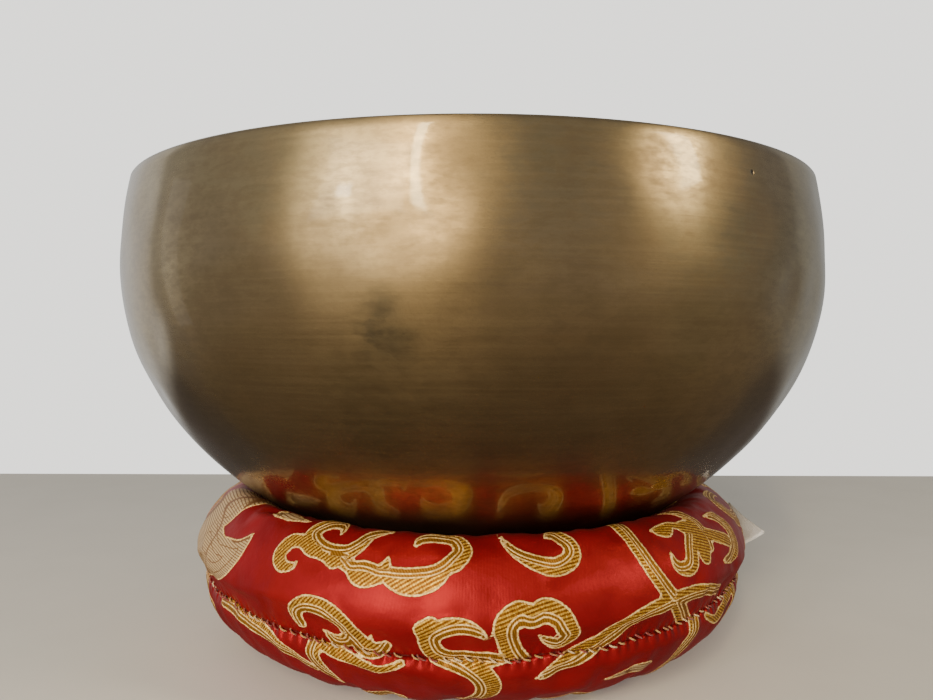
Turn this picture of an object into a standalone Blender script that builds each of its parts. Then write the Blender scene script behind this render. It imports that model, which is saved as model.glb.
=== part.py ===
"""A hand-hammered bronze singing bowl, resting in the dished top of its stuffed ring cushion.

The bowl and every layer of the cushion are turned about the Z axis. The cushion stands on z = 0.
"""

import math

import bmesh
import bpy
from mathutils import Vector

# Bowl. Depths are measured down from the rim.
BOWL_RADIUS = 0.120
RIM_RADIUS = 0.973 * BOWL_RADIUS
BOWL_HEIGHT = 1.045 * BOWL_RADIUS
BELLY_DEPTH = 0.234 * BOWL_RADIUS
POLE_DEPTH = 1.088 * BOWL_RADIUS
DEPTH_POWER = 2.04
RADIUS_POWER = 1.67
BOWL_WALL = 0.0028

# Cushion. Heights are measured up from the surface that it stands on.
RIM_HEIGHT = 1.26 * BOWL_RADIUS
CUSHION_RADIUS = 0.807 * BOWL_RADIUS
WIDEST_HEIGHT = 0.251 * BOWL_RADIUS
CREST_RADIUS = 0.672 * BOWL_RADIUS
CREST_HEIGHT = 0.415 * BOWL_RADIUS
SHOULDER_POWER = 1.6
FOOT_OUTER_RADIUS = 0.573 * BOWL_RADIUS
FOOT_INNER_RADIUS = 0.044
HOLE_RADIUS = 0.030
SEAT_OUTER_RADIUS = 0.655 * BOWL_RADIUS
SEAT_INNER_RADIUS = 0.400 * BOWL_RADIUS
OUTER_SEAM_HEIGHT = 0.0216
INNER_SEAM_HEIGHT = 0.0160
SEAM_GAP = 0.0022
CLOTH = 0.0009
CLEARANCE = 0.0004

# Sewing thread, laid as one cord along each seam.
THREAD_RADIUS = 0.0007
THREAD_INSET = 0.0001

# Woven label, a flap that comes out of the outer seam.
LABEL_WIDTH = 0.022
LABEL_LENGTH = 0.015
LABEL_THICKNESS = 0.0008
LABEL_CURL = 0.006
LABEL_AZIMUTH = math.radians(6.0)

# Fineness of the turned shapes.
SEGMENTS = 48
THREAD_SIDES = 6
LABEL_STEPS = 5


def clear_scene():
    for obj in list(bpy.data.objects):
        bpy.data.objects.remove(obj, do_unlink=True)


def material(name, colour, roughness, metallic=0.0):
    result = bpy.data.materials.new(name)
    result.use_nodes = True
    shader = result.node_tree.nodes["Principled BSDF"]
    shader.inputs["Base Color"].default_value = (*colour, 1.0)
    shader.inputs["Roughness"].default_value = roughness
    shader.inputs["Metallic"].default_value = metallic
    return result


def place(name, bm, finish):
    """Turns the bmesh into a smooth-shaded object with its faces pointing outwards."""
    bmesh.ops.recalc_face_normals(bm, faces=bm.faces)
    mesh = bpy.data.meshes.new(name)
    bm.to_mesh(mesh)
    bm.free()
    mesh.shade_smooth()
    mesh.set_sharp_from_angle(angle=math.radians(40.0))
    mesh.materials.append(finish)
    obj = bpy.data.objects.new(name, mesh)
    bpy.context.scene.collection.objects.link(obj)
    return obj


def turned(name, section, finish, closed=True):
    """Spins a section of (radius, height) points about Z. An open section starts and ends on the axis."""
    bm = bmesh.new()
    verts = [bm.verts.new((radius, 0.0, height)) for radius, height in section]
    edges = [bm.edges.new(pair) for pair in zip(verts, verts[1:])]
    if closed:
        edges.append(bm.edges.new((verts[-1], verts[0])))
    bmesh.ops.spin(
        bm,
        geom=verts + edges,
        cent=(0.0, 0.0, 0.0),
        axis=(0.0, 0.0, 1.0),
        angle=math.tau,
        steps=SEGMENTS,
        use_merge=True,
    )
    bmesh.ops.remove_doubles(bm, verts=bm.verts, dist=1e-6)
    return place(name, bm, finish)


def offset(points, distance, closed=False):
    """Moves a section's points to the left of its direction of travel."""
    moved = []
    count = len(points)
    for index, point in enumerate(points):
        before = points[index - 1] if index or closed else point
        after = points[(index + 1) % count] if index < count - 1 or closed else point
        along = Vector(after) - Vector(before)
        normal = Vector((-along.y, along.x)).normalized()
        moved.append(tuple(Vector(point) + normal * distance))
    return moved


def steps_between(start, end, count):
    return [start + (end - start) * index / count for index in range(count + 1)]


def rounded_corner(start, corner, end, count):
    """Points on the curve that leaves start towards corner, and reaches end as if from corner."""
    curve = []
    for part in steps_between(0.0, 1.0, count):
        point = start * (1.0 - part) ** 2 + corner * 2.0 * part * (1.0 - part) + end * part**2
        curve.append(tuple(point))
    return curve


# Bowl.


def bowl_radius_at(depth):
    """Outer radius: the wall leans in a little above the belly, and closes to a dome below it."""
    if depth < BELLY_DEPTH:
        above = 1.0 - depth / BELLY_DEPTH
        return BOWL_RADIUS - (BOWL_RADIUS - RIM_RADIUS) * above**2
    below = (depth - BELLY_DEPTH) / (POLE_DEPTH - BELLY_DEPTH)
    return BOWL_RADIUS * (1.0 - below**DEPTH_POWER) ** (1.0 / RADIUS_POWER)


def bowl_depth_at(radius):
    """Depth of the outer surface below the belly, the inverse of bowl_radius_at."""
    across = (radius / BOWL_RADIUS) ** RADIUS_POWER
    return BELLY_DEPTH + (POLE_DEPTH - BELLY_DEPTH) * (1.0 - across) ** (1.0 / DEPTH_POWER)


def bowl_section():
    upper = [(bowl_radius_at(depth), RIM_HEIGHT - depth) for depth in steps_between(0.0, BELLY_DEPTH, 4)]
    base_radius = next(r / 1000 for r in range(20, 60) if bowl_depth_at(r / 1000) < BOWL_HEIGHT)
    lower = []
    for angle in steps_between(0.0, math.pi / 2, 14)[1:]:
        radius = base_radius + (BOWL_RADIUS - base_radius) * math.cos(angle)
        lower.append((radius, RIM_HEIGHT - bowl_depth_at(radius)))
    foot = (0.0, RIM_HEIGHT - BOWL_HEIGHT)
    outer = upper + lower[:-1] + [(base_radius, foot[1])]
    inner = offset(outer, -BOWL_WALL)
    inner[0] = (RIM_RADIUS - BOWL_WALL, RIM_HEIGHT)
    inner[-1] = (base_radius - BOWL_WALL, foot[1] + BOWL_WALL)
    return [foot] + outer[::-1] + inner + [(0.0, foot[1] + BOWL_WALL)]


def bowl():
    bronze = material("hammered_bronze", (0.23, 0.17, 0.09), 0.38, 1.0)
    return turned("bowl", bowl_section(), bronze, closed=False)


# Cushion.


def upper_outline():
    """Outside of the cushion from the outer seam, over the crest and the seat, to the inner seam."""
    points = [lower_flank(math.asin(1.0 - (OUTER_SEAM_HEIGHT + SEAM_GAP / 2) / WIDEST_HEIGHT))]
    for angle in steps_between(0.0, math.pi / 2, 7):
        radius = CREST_RADIUS + (CUSHION_RADIUS - CREST_RADIUS) * math.cos(angle) ** (2 / SHOULDER_POWER)
        height = WIDEST_HEIGHT + (CREST_HEIGHT - WIDEST_HEIGHT) * math.sin(angle) ** (2 / SHOULDER_POWER)
        points.append((radius, height))
    for radius in steps_between(SEAT_OUTER_RADIUS, SEAT_INNER_RADIUS, 5):
        points.append((radius, RIM_HEIGHT - bowl_depth_at(radius) - 2 * CLEARANCE))
    before_last, last = Vector(points[-2]), Vector(points[-1])
    along_seat = last - before_last
    corner = last + along_seat * (HOLE_RADIUS - last.x) / along_seat.x
    end = (HOLE_RADIUS, INNER_SEAM_HEIGHT + SEAM_GAP / 2)
    return points + rounded_corner(last, corner, Vector(end), 4)[1:]


def lower_flank(angle):
    """A point on the flank below the widest line: 0 is that line, a quarter turn is the foot."""
    radius = FOOT_OUTER_RADIUS + (CUSHION_RADIUS - FOOT_OUTER_RADIUS) * math.cos(angle)
    return radius, WIDEST_HEIGHT * (1.0 - math.sin(angle))


def lower_outline():
    """Outside of the cushion from the inner seam, across the flat foot, to the outer seam."""
    start = Vector((HOLE_RADIUS, INNER_SEAM_HEIGHT - SEAM_GAP / 2))
    points = rounded_corner(start, Vector((HOLE_RADIUS, 0.0)), Vector((FOOT_INNER_RADIUS, 0.0)), 4)
    seam_angle = math.asin(1.0 - (OUTER_SEAM_HEIGHT - SEAM_GAP / 2) / WIDEST_HEIGHT)
    points += [lower_flank(angle) for angle in steps_between(math.pi / 2, seam_angle, 6)]
    return points


def cover(name, outline, finish):
    """A cloth panel: the outline with the cloth's thickness on its inner side."""
    return turned(name, outline + offset(outline, CLOTH)[::-1], finish)


def thread(name, radius, height, finish):
    section = []
    for index in range(THREAD_SIDES):
        angle = math.tau * index / THREAD_SIDES
        section.append((radius + THREAD_RADIUS * math.cos(angle), height + THREAD_RADIUS * math.sin(angle)))
    return turned(name, section, finish)


def outer_seam_radius():
    return lower_flank(math.asin(1.0 - OUTER_SEAM_HEIGHT / WIDEST_HEIGHT))[0]


def woven_label():
    """A folded ribbon flap, flat where the seam holds it and curling up to its free end."""
    start = outer_seam_radius() + THREAD_RADIUS + CLEARANCE
    underside = []
    for along in steps_between(0.0, 1.0, LABEL_STEPS):
        height = OUTER_SEAM_HEIGHT - LABEL_THICKNESS / 2 + LABEL_CURL * along**2
        underside.append((start + LABEL_LENGTH * along, height))
    section = underside + offset(underside, LABEL_THICKNESS)[::-1]
    bm = bmesh.new()
    side = bm.faces.new([bm.verts.new((radius, -LABEL_WIDTH / 2, height)) for radius, height in section])
    grown = bmesh.ops.extrude_face_region(bm, geom=[side])["geom"]
    far_side = [item for item in grown if isinstance(item, bmesh.types.BMVert)]
    bmesh.ops.translate(bm, verts=far_side, vec=(0.0, LABEL_WIDTH, 0.0))
    ribbon = material("label_ribbon", (0.80, 0.78, 0.74), 0.7)
    label = place("woven_label", bm, ribbon)
    label.rotation_euler.z = LABEL_AZIMUTH
    return label


def cushion():
    brocade = material("brocade", (0.45, 0.02, 0.03), 0.45)
    cotton = material("cotton_stuffing", (0.75, 0.72, 0.65), 0.95)
    gold_thread = material("gold_thread", (0.55, 0.32, 0.12), 0.6)
    pieces = [
        cover("cushion_cover_top", upper_outline(), brocade),
        cover("cushion_cover_bottom", lower_outline(), brocade),
        turned(
            "stuffing_ring",
            offset(upper_outline() + lower_outline(), CLOTH + CLEARANCE, closed=True),
            cotton,
        ),
        thread("outer_seam_thread", outer_seam_radius() - THREAD_INSET, OUTER_SEAM_HEIGHT, gold_thread),
        thread("inner_seam_thread", HOLE_RADIUS + THREAD_INSET, INNER_SEAM_HEIGHT, gold_thread),
        woven_label(),
    ]
    return pieces


def main():
    clear_scene()
    group = bpy.data.objects.new("singing_bowl_set", None)
    bpy.context.scene.collection.objects.link(group)
    for piece in [bowl(), *cushion()]:
        piece.parent = group


main()
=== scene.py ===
"""A hammered bronze singing bowl, resting on its stuffed ring cushion of red and gold brocade."""

import math

import bmesh
import bpy
import numpy as np
from mathutils import Matrix, Vector


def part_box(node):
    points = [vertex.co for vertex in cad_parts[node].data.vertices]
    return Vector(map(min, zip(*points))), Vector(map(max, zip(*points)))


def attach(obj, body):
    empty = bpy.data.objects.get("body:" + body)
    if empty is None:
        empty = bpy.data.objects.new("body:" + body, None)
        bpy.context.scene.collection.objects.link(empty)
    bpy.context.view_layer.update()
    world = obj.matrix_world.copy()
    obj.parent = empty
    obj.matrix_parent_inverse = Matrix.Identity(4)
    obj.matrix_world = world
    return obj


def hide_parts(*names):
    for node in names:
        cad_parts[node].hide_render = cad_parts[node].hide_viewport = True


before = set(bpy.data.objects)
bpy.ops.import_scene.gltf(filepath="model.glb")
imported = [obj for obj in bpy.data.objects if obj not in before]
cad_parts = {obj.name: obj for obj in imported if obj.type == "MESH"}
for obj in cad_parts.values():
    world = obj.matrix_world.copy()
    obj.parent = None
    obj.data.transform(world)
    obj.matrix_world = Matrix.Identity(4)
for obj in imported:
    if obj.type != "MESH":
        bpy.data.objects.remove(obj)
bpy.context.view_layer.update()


# ---- Cushion shape ----
# The cushion is a cloth ring, packed tight with cotton. Its section runs from the outer seam over the
# crest, down the seat that the bowl has pressed, to the seam in the hole, and back round the flat foot.

bowl_low, bowl_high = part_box("bowl")
BOWL_RADIUS = bowl_high.x
RIM_HEIGHT = bowl_high.z
BASE_HEIGHT = bowl_low.z
BELLY_DEPTH = 0.234 * BOWL_RADIUS
POLE_DEPTH = 1.088 * BOWL_RADIUS
DEPTH_POWER = 2.04
RADIUS_POWER = 1.67

panel_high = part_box("cushion_cover_top")[1]
CUSHION_RADIUS = panel_high.x
CREST_HEIGHT = panel_high.z
WIDEST_HEIGHT = 0.251 * BOWL_RADIUS
CREST_RADIUS = 0.672 * BOWL_RADIUS
FOOT_OUTER_RADIUS = 0.573 * BOWL_RADIUS
FOOT_INNER_RADIUS = 0.044
HOLE_RADIUS = 0.030
SEAT_OUTER_RADIUS = 0.645 * BOWL_RADIUS
SEAT_INNER_RADIUS = 0.400 * BOWL_RADIUS
SEAT_GAP = 0.0008
SHOULDER_POWER = 1.6
OUTER_SEAM_HEIGHT = 0.0216
INNER_SEAM_HEIGHT = 0.0160
SEAM_PINCH = 0.0022
HEART = Vector((0.063, 0.024))

CREST_STEPS = 24
SEAT_STEPS = 10
FLANK_STEPS = 16
FLANK_START = 0.12
CORNER_STEPS = 8


def bowl_depth_at(radius):
    """How far under the rim the bowl's outside is at a radius, on the part below its belly."""
    across = (radius / BOWL_RADIUS) ** RADIUS_POWER
    return BELLY_DEPTH + (POLE_DEPTH - BELLY_DEPTH) * (1.0 - across) ** (1.0 / DEPTH_POWER)


def steps_between(start, end, count):
    return [start + (end - start) * index / count for index in range(count + 1)]


def rounded_corner(start, corner, end, count):
    """Points on the curve that leaves start towards corner, and reaches end as if from corner."""
    return [
        start * (1.0 - part) ** 2 + corner * 2.0 * part * (1.0 - part) + end * part**2
        for part in steps_between(0.0, 1.0, count)
    ]


def flank_below(angle):
    """A point on the flank below its widest line: 0 is that line, a quarter turn is the foot."""
    radius = FOOT_OUTER_RADIUS + (CUSHION_RADIUS - FOOT_OUTER_RADIUS) * math.cos(angle)
    return Vector((radius, WIDEST_HEIGHT * (1.0 - math.sin(angle))))


SEAM_ANGLE = math.asin(1.0 - OUTER_SEAM_HEIGHT / WIDEST_HEIGHT)
OUTER_SEAM = flank_below(SEAM_ANGLE) - Vector((SEAM_PINCH, 0.0))
INNER_SEAM = Vector((HOLE_RADIUS + SEAM_PINCH, INNER_SEAM_HEIGHT))


def upper_section():
    """The upper panel, from the outer seam over the crest and the seat to the inner seam."""
    points = [OUTER_SEAM]
    for angle in steps_between(0.0, math.pi / 2, CREST_STEPS):
        across = math.cos(angle) ** (2 / SHOULDER_POWER)
        up = math.sin(angle) ** (2 / SHOULDER_POWER)
        radius = CREST_RADIUS + (CUSHION_RADIUS - CREST_RADIUS) * across
        points.append(Vector((radius, WIDEST_HEIGHT + (CREST_HEIGHT - WIDEST_HEIGHT) * up)))
    for radius in steps_between(SEAT_OUTER_RADIUS, SEAT_INNER_RADIUS, SEAT_STEPS):
        points.append(Vector((radius, RIM_HEIGHT - bowl_depth_at(radius) - SEAT_GAP)))
    seat_slope = points[-1] - points[-2]
    corner = points[-1] + seat_slope * (HOLE_RADIUS - points[-1].x) / seat_slope.x
    return points[:-1] + rounded_corner(points[-1], corner, INNER_SEAM, CORNER_STEPS)


def lower_section():
    """The lower panel, from the outer seam round the flank and across the foot to the inner seam."""
    angles = steps_between(SEAM_ANGLE + FLANK_START, math.pi / 2, FLANK_STEPS)
    foot_inner, corner = Vector((FOOT_INNER_RADIUS, 0.0)), Vector((HOLE_RADIUS, 0.0))
    hole = rounded_corner(foot_inner, corner, INNER_SEAM, CORNER_STEPS)
    return [OUTER_SEAM, *(flank_below(angle) for angle in angles), *hole]


def evenly_spaced(points, spacing):
    """The same line with its points a given step apart, and each point's distance from the start."""
    line = np.array([tuple(point) for point in points])
    along = np.concatenate([[0.0], np.cumsum(np.linalg.norm(np.diff(line, axis=0), axis=1))])
    wanted = np.linspace(0.0, along[-1], round(along[-1] / spacing) + 1)
    return np.stack([np.interp(wanted, along, line[:, 0]), np.interp(wanted, along, line[:, 1])], 1), wanted


# ---- Brocade cover, sewn and stuffed ----
# Two ring-shaped panels are held along both seams, under the bowl and on the table, and the packing
# swells the cloth between them. The cloth is cut a little full, so it gathers along the seams.

TURN_STEPS = 240
CLOTH_STEP = 0.0022
CLOTH_FULLNESS = 0.025
PACKING_PRESSURE = 4.0
SETTLING_FRAMES = 16
EVEN_SWELL_LOST = 0.75
MOST_SWELL = 0.003
MOST_DIP = 0.0012
CLOTH_THICKNESS = 0.0006
BOWL_TOUCH_RADIUS = 0.0745
FOOT_TOUCH_HEIGHT = 0.0015
TINY = 1e-6

# The gathers along the seams: waves round the ring, share of the depth, and phase.
GATHERS = ((37, 0.5, 0.3), (61, 0.4, 1.9), (94, 0.35, 4.1), (17, 0.3, 2.2))
GATHER_DEPTH = 0.00045
GATHER_REACH = 0.006

# The outer seam hangs lower at the front than at the back, and wavers on its way round.
SEAM_RISE = 0.0030
SEAM_SAG = 0.0045
SEAM_SAG_DEGREES = 50.0
SEAM_BEND_REACH = 0.016
SEAM_WAVER = 0.0005


def spin_round(bm, verts, edges, steps):
    bmesh.ops.spin(
        bm, geom=verts + edges, cent=(0, 0, 0), axis=(0, 0, 1), angle=math.tau, steps=steps, use_merge=True
    )


def add_to_scene(name, bm, smooth=False):
    mesh = bpy.data.meshes.new(name)
    bm.to_mesh(mesh)
    bm.free()
    if smooth:
        mesh.shade_smooth()
    piece = bpy.data.objects.new(name, mesh)
    bpy.context.scene.collection.objects.link(piece)
    return piece


def add_panel(bm, section, layer, upper):
    """Spins one panel. The layer keeps the distance from the outer seam, below zero on the lower panel."""
    points, along = evenly_spaced(section, CLOTH_STEP)
    verts = [bm.verts.new((radius, 0.0, height)) for radius, height in points]
    for vert, distance in zip(verts, along):
        vert[layer] = distance if upper else -distance
    spin_round(bm, verts, [bm.edges.new(pair) for pair in zip(verts, verts[1:])], TURN_STEPS)


def cloth_ring():
    """Both panels in one object, lying edge to edge along their seams."""
    bm = bmesh.new()
    layer = bm.verts.layers.float.new("from_seam")
    add_panel(bm, upper_section(), layer, True)
    add_panel(bm, lower_section(), layer, False)
    for face in bm.faces:
        middle = face.calc_center_median()
        outward = Vector((middle.x, middle.y, 0.0)).normalized()
        heart = outward * HEART.x + Vector((0.0, 0.0, HEART.y))
        if face.normal.dot(middle - heart) < 0.0:
            face.normal_flip()
    return add_to_scene("cloth_ring", bm)


def places(mesh):
    found = np.empty(len(mesh.vertices) * 3, np.float32)
    mesh.vertices.foreach_get("co", found)
    return found.reshape(-1, 3).astype(float)


def floats(mesh, name):
    found = np.empty(len(mesh.vertices), np.float32)
    mesh.attributes[name].data.foreach_get("value", found)
    return found.astype(float)


def normals_of(mesh):
    found = np.empty(len(mesh.vertices) * 3, np.float32)
    mesh.vertices.foreach_get("normal", found)
    return found.reshape(-1, 3)


def move_points(mesh, where):
    mesh.vertices.foreach_set("co", where.astype(np.float32).ravel())


def keep_floats(mesh, name, values):
    attribute = mesh.attributes.get(name) or mesh.attributes.new(name, "FLOAT", "POINT")
    attribute.data.foreach_set("value", np.asarray(values, np.float32))


ring = cloth_ring()
start = places(ring.data)
from_seam = floats(ring.data, "from_seam")
turn = np.arctan2(start[:, 1], start[:, 0])
reach = np.hypot(start[:, 0], start[:, 1])
SEAM_TO_SEAM = from_seam.max()
LOWER_SEAM_TO_SEAM = -from_seam.min()
top = from_seam > 0
at_inner_seam = (from_seam > SEAM_TO_SEAM - TINY) | (from_seam < TINY - LOWER_SEAM_TO_SEAM)
under_the_bowl = top & (reach < BOWL_TOUCH_RADIUS)
on_the_table = ~top & (start[:, 2] < FOOT_TOUCH_HEIGHT) & (reach < FOOT_OUTER_RADIUS)
held = (abs(from_seam) < TINY) | at_inner_seam | under_the_bowl | on_the_table
pull = np.zeros(len(start))
for waves, size, phase in GATHERS:
    pull += size * np.sin(waves * turn + phase)
near_seam = np.exp(-np.abs(from_seam) / GATHER_REACH)
outward = start * np.array([1.0, 1.0, 0.0]) / reach[:, None]
start += outward * (GATHER_DEPTH * pull * near_seam)[:, None]
from_front = np.degrees(np.arctan2(start[:, 0], -start[:, 1]))
sag = SEAM_RISE - SEAM_SAG * np.exp(-((from_front / SEAM_SAG_DEGREES) ** 2))
around_outer_seam = np.exp(-((from_seam / SEAM_BEND_REACH) ** 2)) * (np.abs(from_seam) < 0.5 * SEAM_TO_SEAM)
start[:, 2] += sag * around_outer_seam
start[:, 2] += SEAM_WAVER * near_seam * np.sin(23 * turn + 0.7) * (0.5 + 0.5 * np.sin(5 * turn + 2.0))
move_points(ring.data, start)
group = ring.vertex_groups.new(name="held")
group.add(np.flatnonzero(held).tolist(), 1.0, "REPLACE")


def settle(cloth):
    """Lets the packing press on the cloth, and returns where its points settle."""
    modifier = cloth.modifiers.new("packing", "CLOTH")
    settings = modifier.settings
    settings.quality = 6
    settings.mass = 0.2
    settings.tension_stiffness = 25.0
    settings.compression_stiffness = 25.0
    settings.shear_stiffness = 10.0
    settings.bending_stiffness = 1.2
    settings.use_pressure = True
    settings.uniform_pressure_force = PACKING_PRESSURE
    settings.vertex_group_mass = "held"
    settings.shrink_min = -CLOTH_FULLNESS
    settings.effector_weights.gravity = 0.0
    modifier.collision_settings.use_collision = False
    for number in range(1, SETTLING_FRAMES + 1):
        bpy.context.scene.frame_set(number)
    settled = cloth.evaluated_get(bpy.context.evaluated_depsgraph_get()).to_mesh()
    moved = places(settled)
    cloth.modifiers.remove(modifier)
    return moved


normals = normals_of(ring.data)
swell = settle(ring) - start
outward_part = (swell * normals).sum(1)
row = np.unique(np.round(from_seam, 7), return_inverse=True)[1]
mean_swell = np.bincount(row, outward_part) / np.bincount(row)
kept_part = np.maximum(outward_part - EVEN_SWELL_LOST * mean_swell[row], -MOST_DIP)
swell += normals * (kept_part - outward_part)[:, None]
distance = np.linalg.norm(swell, axis=1)
start = start + swell * (np.minimum(distance, MOST_SWELL) / np.maximum(distance, 1e-9))[:, None]
start[:, 2] = np.maximum(start[:, 2], 0.0)
reach = np.hypot(start[:, 0], start[:, 1])
under_bowl = np.array([RIM_HEIGHT - bowl_depth_at(min(r, 0.999 * BOWL_RADIUS)) for r in reach]) - SEAT_GAP
start[:, 2] = np.where(top, np.minimum(start[:, 2], under_bowl), start[:, 2])
move_points(ring.data, start)


def apply_modifiers(piece):
    finished = bpy.data.meshes.new_from_object(piece.evaluated_get(bpy.context.evaluated_depsgraph_get()))
    piece.modifiers.clear()
    finished.name = piece.name
    piece.data = finished
    finished.shade_smooth()


def panel(name, upper):
    """One panel of the settled ring, subdivided once. It has no thickness yet."""
    bm = bmesh.new()
    bm.from_mesh(ring.data)
    layer = bm.verts.layers.float["from_seam"]
    middles = {face: sum(vert[layer] for vert in face.verts) for face in bm.faces}
    dropped = [face for face, middle in middles.items() if (middle > 0) != upper]
    bmesh.ops.delete(bm, geom=dropped, context="FACES")
    piece = add_to_scene(name, bm)
    finer = piece.modifiers.new("finer", "SUBSURF")
    finer.levels = finer.render_levels = 1
    apply_modifiers(piece)
    return piece


top_panel = panel("top_panel", True)
bottom_panel = panel("bottom_panel", False)
bpy.data.objects.remove(ring)


class Wire:
    """A value in a material: one node's output. Arithmetic on it adds Math nodes."""

    def __init__(self, finish, socket):
        self.finish = finish
        self.socket = socket

    def math(self, operation, *values):
        return self.finish.math(operation, *values)

    def __add__(self, other):
        return self.math("ADD", self, other)

    def __sub__(self, other):
        return self.math("SUBTRACT", self, other)

    def __rsub__(self, other):
        return self.math("SUBTRACT", other, self)

    def __mul__(self, other):
        return self.math("MULTIPLY", self, other)

    __radd__ = __add__
    __rmul__ = __mul__


class Nodes:
    """A node tree being filled in, for a material or for the room."""

    def __init__(self, tree):
        self.tree = tree

    def node(self, kind, settings=None, sockets=None, out=0):
        made = self.tree.nodes.new("ShaderNode" + kind)
        for key, value in (settings or {}).items():
            if key == "stops":
                ramp = made.color_ramp.elements
                while len(ramp) < len(value):
                    ramp.new(1.0)
                for stop, (position, colour) in zip(ramp, value):
                    stop.position = position
                    stop.color = (*colour, 1.0)
            else:
                setattr(made, key, value)
        for key, value in (sockets or {}).items():
            self.feed(made.inputs[key], value)
        return Wire(self, made.outputs[out])

    def feed(self, socket, value):
        if isinstance(value, Wire):
            self.tree.links.new(value.socket, socket)
        elif isinstance(value, tuple) and len(value) == 3 and socket.type == "RGBA":
            socket.default_value = (*value, 1.0)
        else:
            socket.default_value = value

    def mix(self, factor, first, second):
        return self.node("Mix", {"data_type": "RGBA"}, {0: factor, 6: first, 7: second}, out=2)

    def noise(self, where, scale, detail=3.0, roughness=0.5):
        sockets = {"Vector": where, "Scale": scale, "Detail": detail, "Roughness": roughness}
        return self.node("TexNoise", None, sockets)

    def ramp(self, value, *stops):
        return self.node("ValToRGB", {"stops": stops}, {0: value})

    def fade(self, value, low, high, start=0.0, end=1.0):
        """start where the value is low, end where it is high, and a smooth step between."""
        sockets = {"Value": value, 1: low, 2: high, 3: start, 4: end}
        return self.node("MapRange", {"interpolation_type": "SMOOTHSTEP"}, sockets)

    def math(self, operation, *values):
        return self.node("Math", {"operation": operation}, dict(enumerate(values)))

    def place(self):
        return self.node("TexCoord", out=3)

    def stored(self, name):
        return self.node("Attribute", {"attribute_name": name}, out=2)

    def stretched(self, where, x, y, z):
        return self.node("Mapping", None, {"Vector": where, "Scale": (x, y, z)})

    def parts(self, where):
        split = self.node("SeparateXYZ", None, {0: where})
        return [Wire(self, socket) for socket in split.socket.node.outputs]

    def bump(self, height, distance, strength=1.0):
        return self.node("Bump", None, {"Height": height, "Distance": distance, "Strength": strength})

    def ridges(self, value, pitch):
        """Swings from -1 to 1 and back once in every pitch."""
        return self.math("SINE", value * (math.tau / pitch))

    def line(self, value, middle, half_width, softness=0.1):
        """1 on a line where the value is near its middle, 0 elsewhere."""
        return self.fade(self.math("ABSOLUTE", value - middle), half_width + softness, half_width - softness)


class Finish(Nodes):
    """A material being made up round one Principled shader."""

    def __init__(self, name, **settings):
        self.material = bpy.data.materials.new(name)
        self.material.use_nodes = True
        super().__init__(self.material.node_tree)
        self.shader = self.tree.nodes["Principled BSDF"]
        for key, value in settings.items():
            self.feed(self.shader.inputs[key.replace("_", " ").title().replace("Ior", "IOR")], value)

    def surface(self, **values):
        for key, value in values.items():
            self.feed(self.shader.inputs[key.replace("_", " ").title()], value)


# The gold scrolls are woven into the cloth. Each is a few strokes, and a stroke is a list of
# (across, up, half width) in millimetres along its middle. Its inner side carries two pale lines:
# 1 for its left, -1 for its right, 0 for a stroke that is ribbed all over.

CLOUD = (
    (0, ((-20, -3, 0.3), (-21, -4.6, 1.2), (-24.5, -5, 2.0), (-27, -2, 2.5), (-25, 2, 2.5), (-21, 2.6, 2.1),
         (-16.5, 1.6, 2.9), (-12.5, 0.8, 2.2), (-8.5, -0.6, 2.9))),
    (1, ((-10, 7, 0.6), (-11.5, 10, 1.6), (-16, 9.8, 2.3), (-19.5, 6.5, 2.5), (-17, 3, 2.7), (-12, 1, 2.8),
         (-6, 1.5, 2.6), (-2.5, 4.5, 2.3), (-1, 8, 1.7), (5, 10.2, 0.8))),
    (1, ((-11, 0.5, 2.4), (-6.5, -0.4, 2.4), (-3, -2.2, 2.0), (0.6, -3.4, 3.6), (4.6, -3.3, 2.6),
         (7, -2.9, 2.2), (10.5, -4, 3.2), (14.5, -4.2, 3.7), (19, -2.9, 3.2), (22, -0.4, 2.3),
         (24.6, 1.6, 2.9), (26.5, 5, 2.7), (24, 8.3, 2.1), (19, 8.9, 1.8), (14.6, 7.8, 1.5),
         (13.4, 5.8, 0.8))),
    (0, ((6.8, 2.2, 0.2), (6.4, -1.0, 1.6))),
)
SCROLL = (
    (1, ((14, 0, 1.2), (11, -2.4, 2.4), (7.5, -2.5, 2.9), (5.5, 0.5, 3.0), (3, 4.5, 2.9), (-2, 7.7, 2.8),
         (-8, 8.2, 2.6), (-12, 4.7, 2.2), (-11, 0.5, 1.5))),
    (0, ((9, -1.5, 1.8), (10, 2.4, 0.2))),
    (1, ((4.5, 2.4, 2.0), (2.5, -1.2, 2.1), (-1, -1.8, 1.8), (-5, 0.6, 0.2))),
)
HOOK = (
    (-1, ((14, -4.5, 0.6), (9, -5, 2.0), (4, -5, 2.4), (-1, -4.5, 2.6), (-5, -3, 2.9), (-6.5, 0.5, 2.9),
          (-5.5, 3.6, 2.8), (-1, 5.6, 2.4), (3.5, 5.2, 1.9), (6.5, 3.0, 1.1), (7.4, 0.4, 0.2))),
    (0, ((-8, 3.0, 1.8), (-9, 5.0, 1.2), (-6, 6.3, 1.8))),
)
FLOWER = (
    (-1, ((-2, -9.5, 2.2), (-5.5, -5.5, 2.8), (-7.2, -1, 2.9), (-7.4, 3.4, 3.2), (-4.2, 6, 3.1),
          (-1.2, 4.6, 2.6), (2, 6.2, 3.2), (5.6, 4.4, 3.0), (7.2, 1.4, 2.9), (8.4, -1.6, 2.7),
          (6.0, -3.8, 2.1), (3.0, -2.6, 1.5), (0.4, -0.2, 0.3))),
)
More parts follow.
